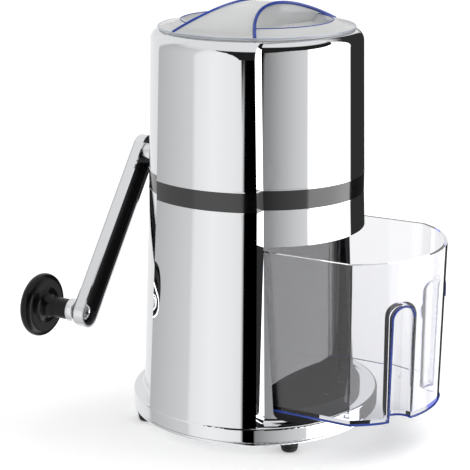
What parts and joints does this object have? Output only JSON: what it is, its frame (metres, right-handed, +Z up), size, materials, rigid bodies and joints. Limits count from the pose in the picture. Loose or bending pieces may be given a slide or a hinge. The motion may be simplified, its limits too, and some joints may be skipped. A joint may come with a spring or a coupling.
{
  "type": "hand cranked ice crusher",
  "caption": "Hand-cranked ice crusher: tall chromed two-part body with a black band, clear lidded hopper, clear pull-out drawer and a rear crank with a mushroom knob.",
  "frame": {"origin": "on the table under the body's upright axis, level with the underside of the feet", "axes": "+Z up; the drawer opens towards -Y; the crank stands at the rear, +Y; the plain cheeks face +X and -X"},
  "size_m": [0.1605, 0.2347, 0.2515],
  "materials": {
    "chrome_shell": "bright chrome plating over moulded plastic",
    "black_frame": "polished black plastic",
    "black_lining": "plain moulded black plastic",
    "pale_plastic": "plain moulded pale grey plastic",
    "clear_plastic": "clear plastic with blue in its edges",
    "rubber": "matt",
    "steel": "stainless, ground",
    "bush_plastic": "self-lubricating white plastic"
  },
  "bodies": {
    "housing": {"lower_shell": "chrome_shell", "upper_shell": "chrome_shell", "chassis_band": "black_frame", "base_plate": "chrome_shell", "rubber_feet": "rubber", "base_screws": "steel", "shell_screws": "steel", "drawer_bay": "black_lining", "hopper": "pale_plastic", "front_bush": "bush_plastic", "rear_bush": "bush_plastic", "comb_left": "steel", "comb_right": "steel", "comb_screws": "steel"},
    "crank": {"crank_shaft": "steel", "retaining_clip": "steel", "rotor_blade_1": "steel", "rotor_blade_2": "steel", "rotor_blade_3": "steel", "rotor_blade_4": "steel", "rotor_blade_5": "steel", "blade_spacers": "bush_plastic", "shaft_collar": "chrome_shell", "crank_arm": "chrome_shell", "arm_insert": "black_frame", "crank_screw": "steel", "knob_pin": "steel", "knob_washer": "steel"},
    "knob": {"knob": "black_frame", "knob_collar": "chrome_shell", "knob_cap": "black_frame"},
    "drawer": {"drawer": "clear_plastic"},
    "lid": {"lid": "clear_plastic"}
  },
  "joints": [
    {"name": "crank_turn", "type": "hinge", "parent": "housing", "child": "crank", "pos_m": [0, 0, 0.1534], "axis": [0, 1, 0], "continuous": true},
    {"name": "knob_turn", "type": "hinge", "parent": "crank", "child": "knob", "pos_m": [-0.06624, 0.0894, 0.06861], "axis": [0, 1, 0], "continuous": true},
    {"name": "drawer_slide", "type": "slide", "parent": "housing", "child": "drawer", "axis": [0, -1, 0], "range_m": [-0.053, 0.045]},
    {"name": "lid_lift", "type": "slide", "parent": "housing", "child": "lid", "axis": [0, 0, 1], "range_m": [0, 0.03]}
  ]
}
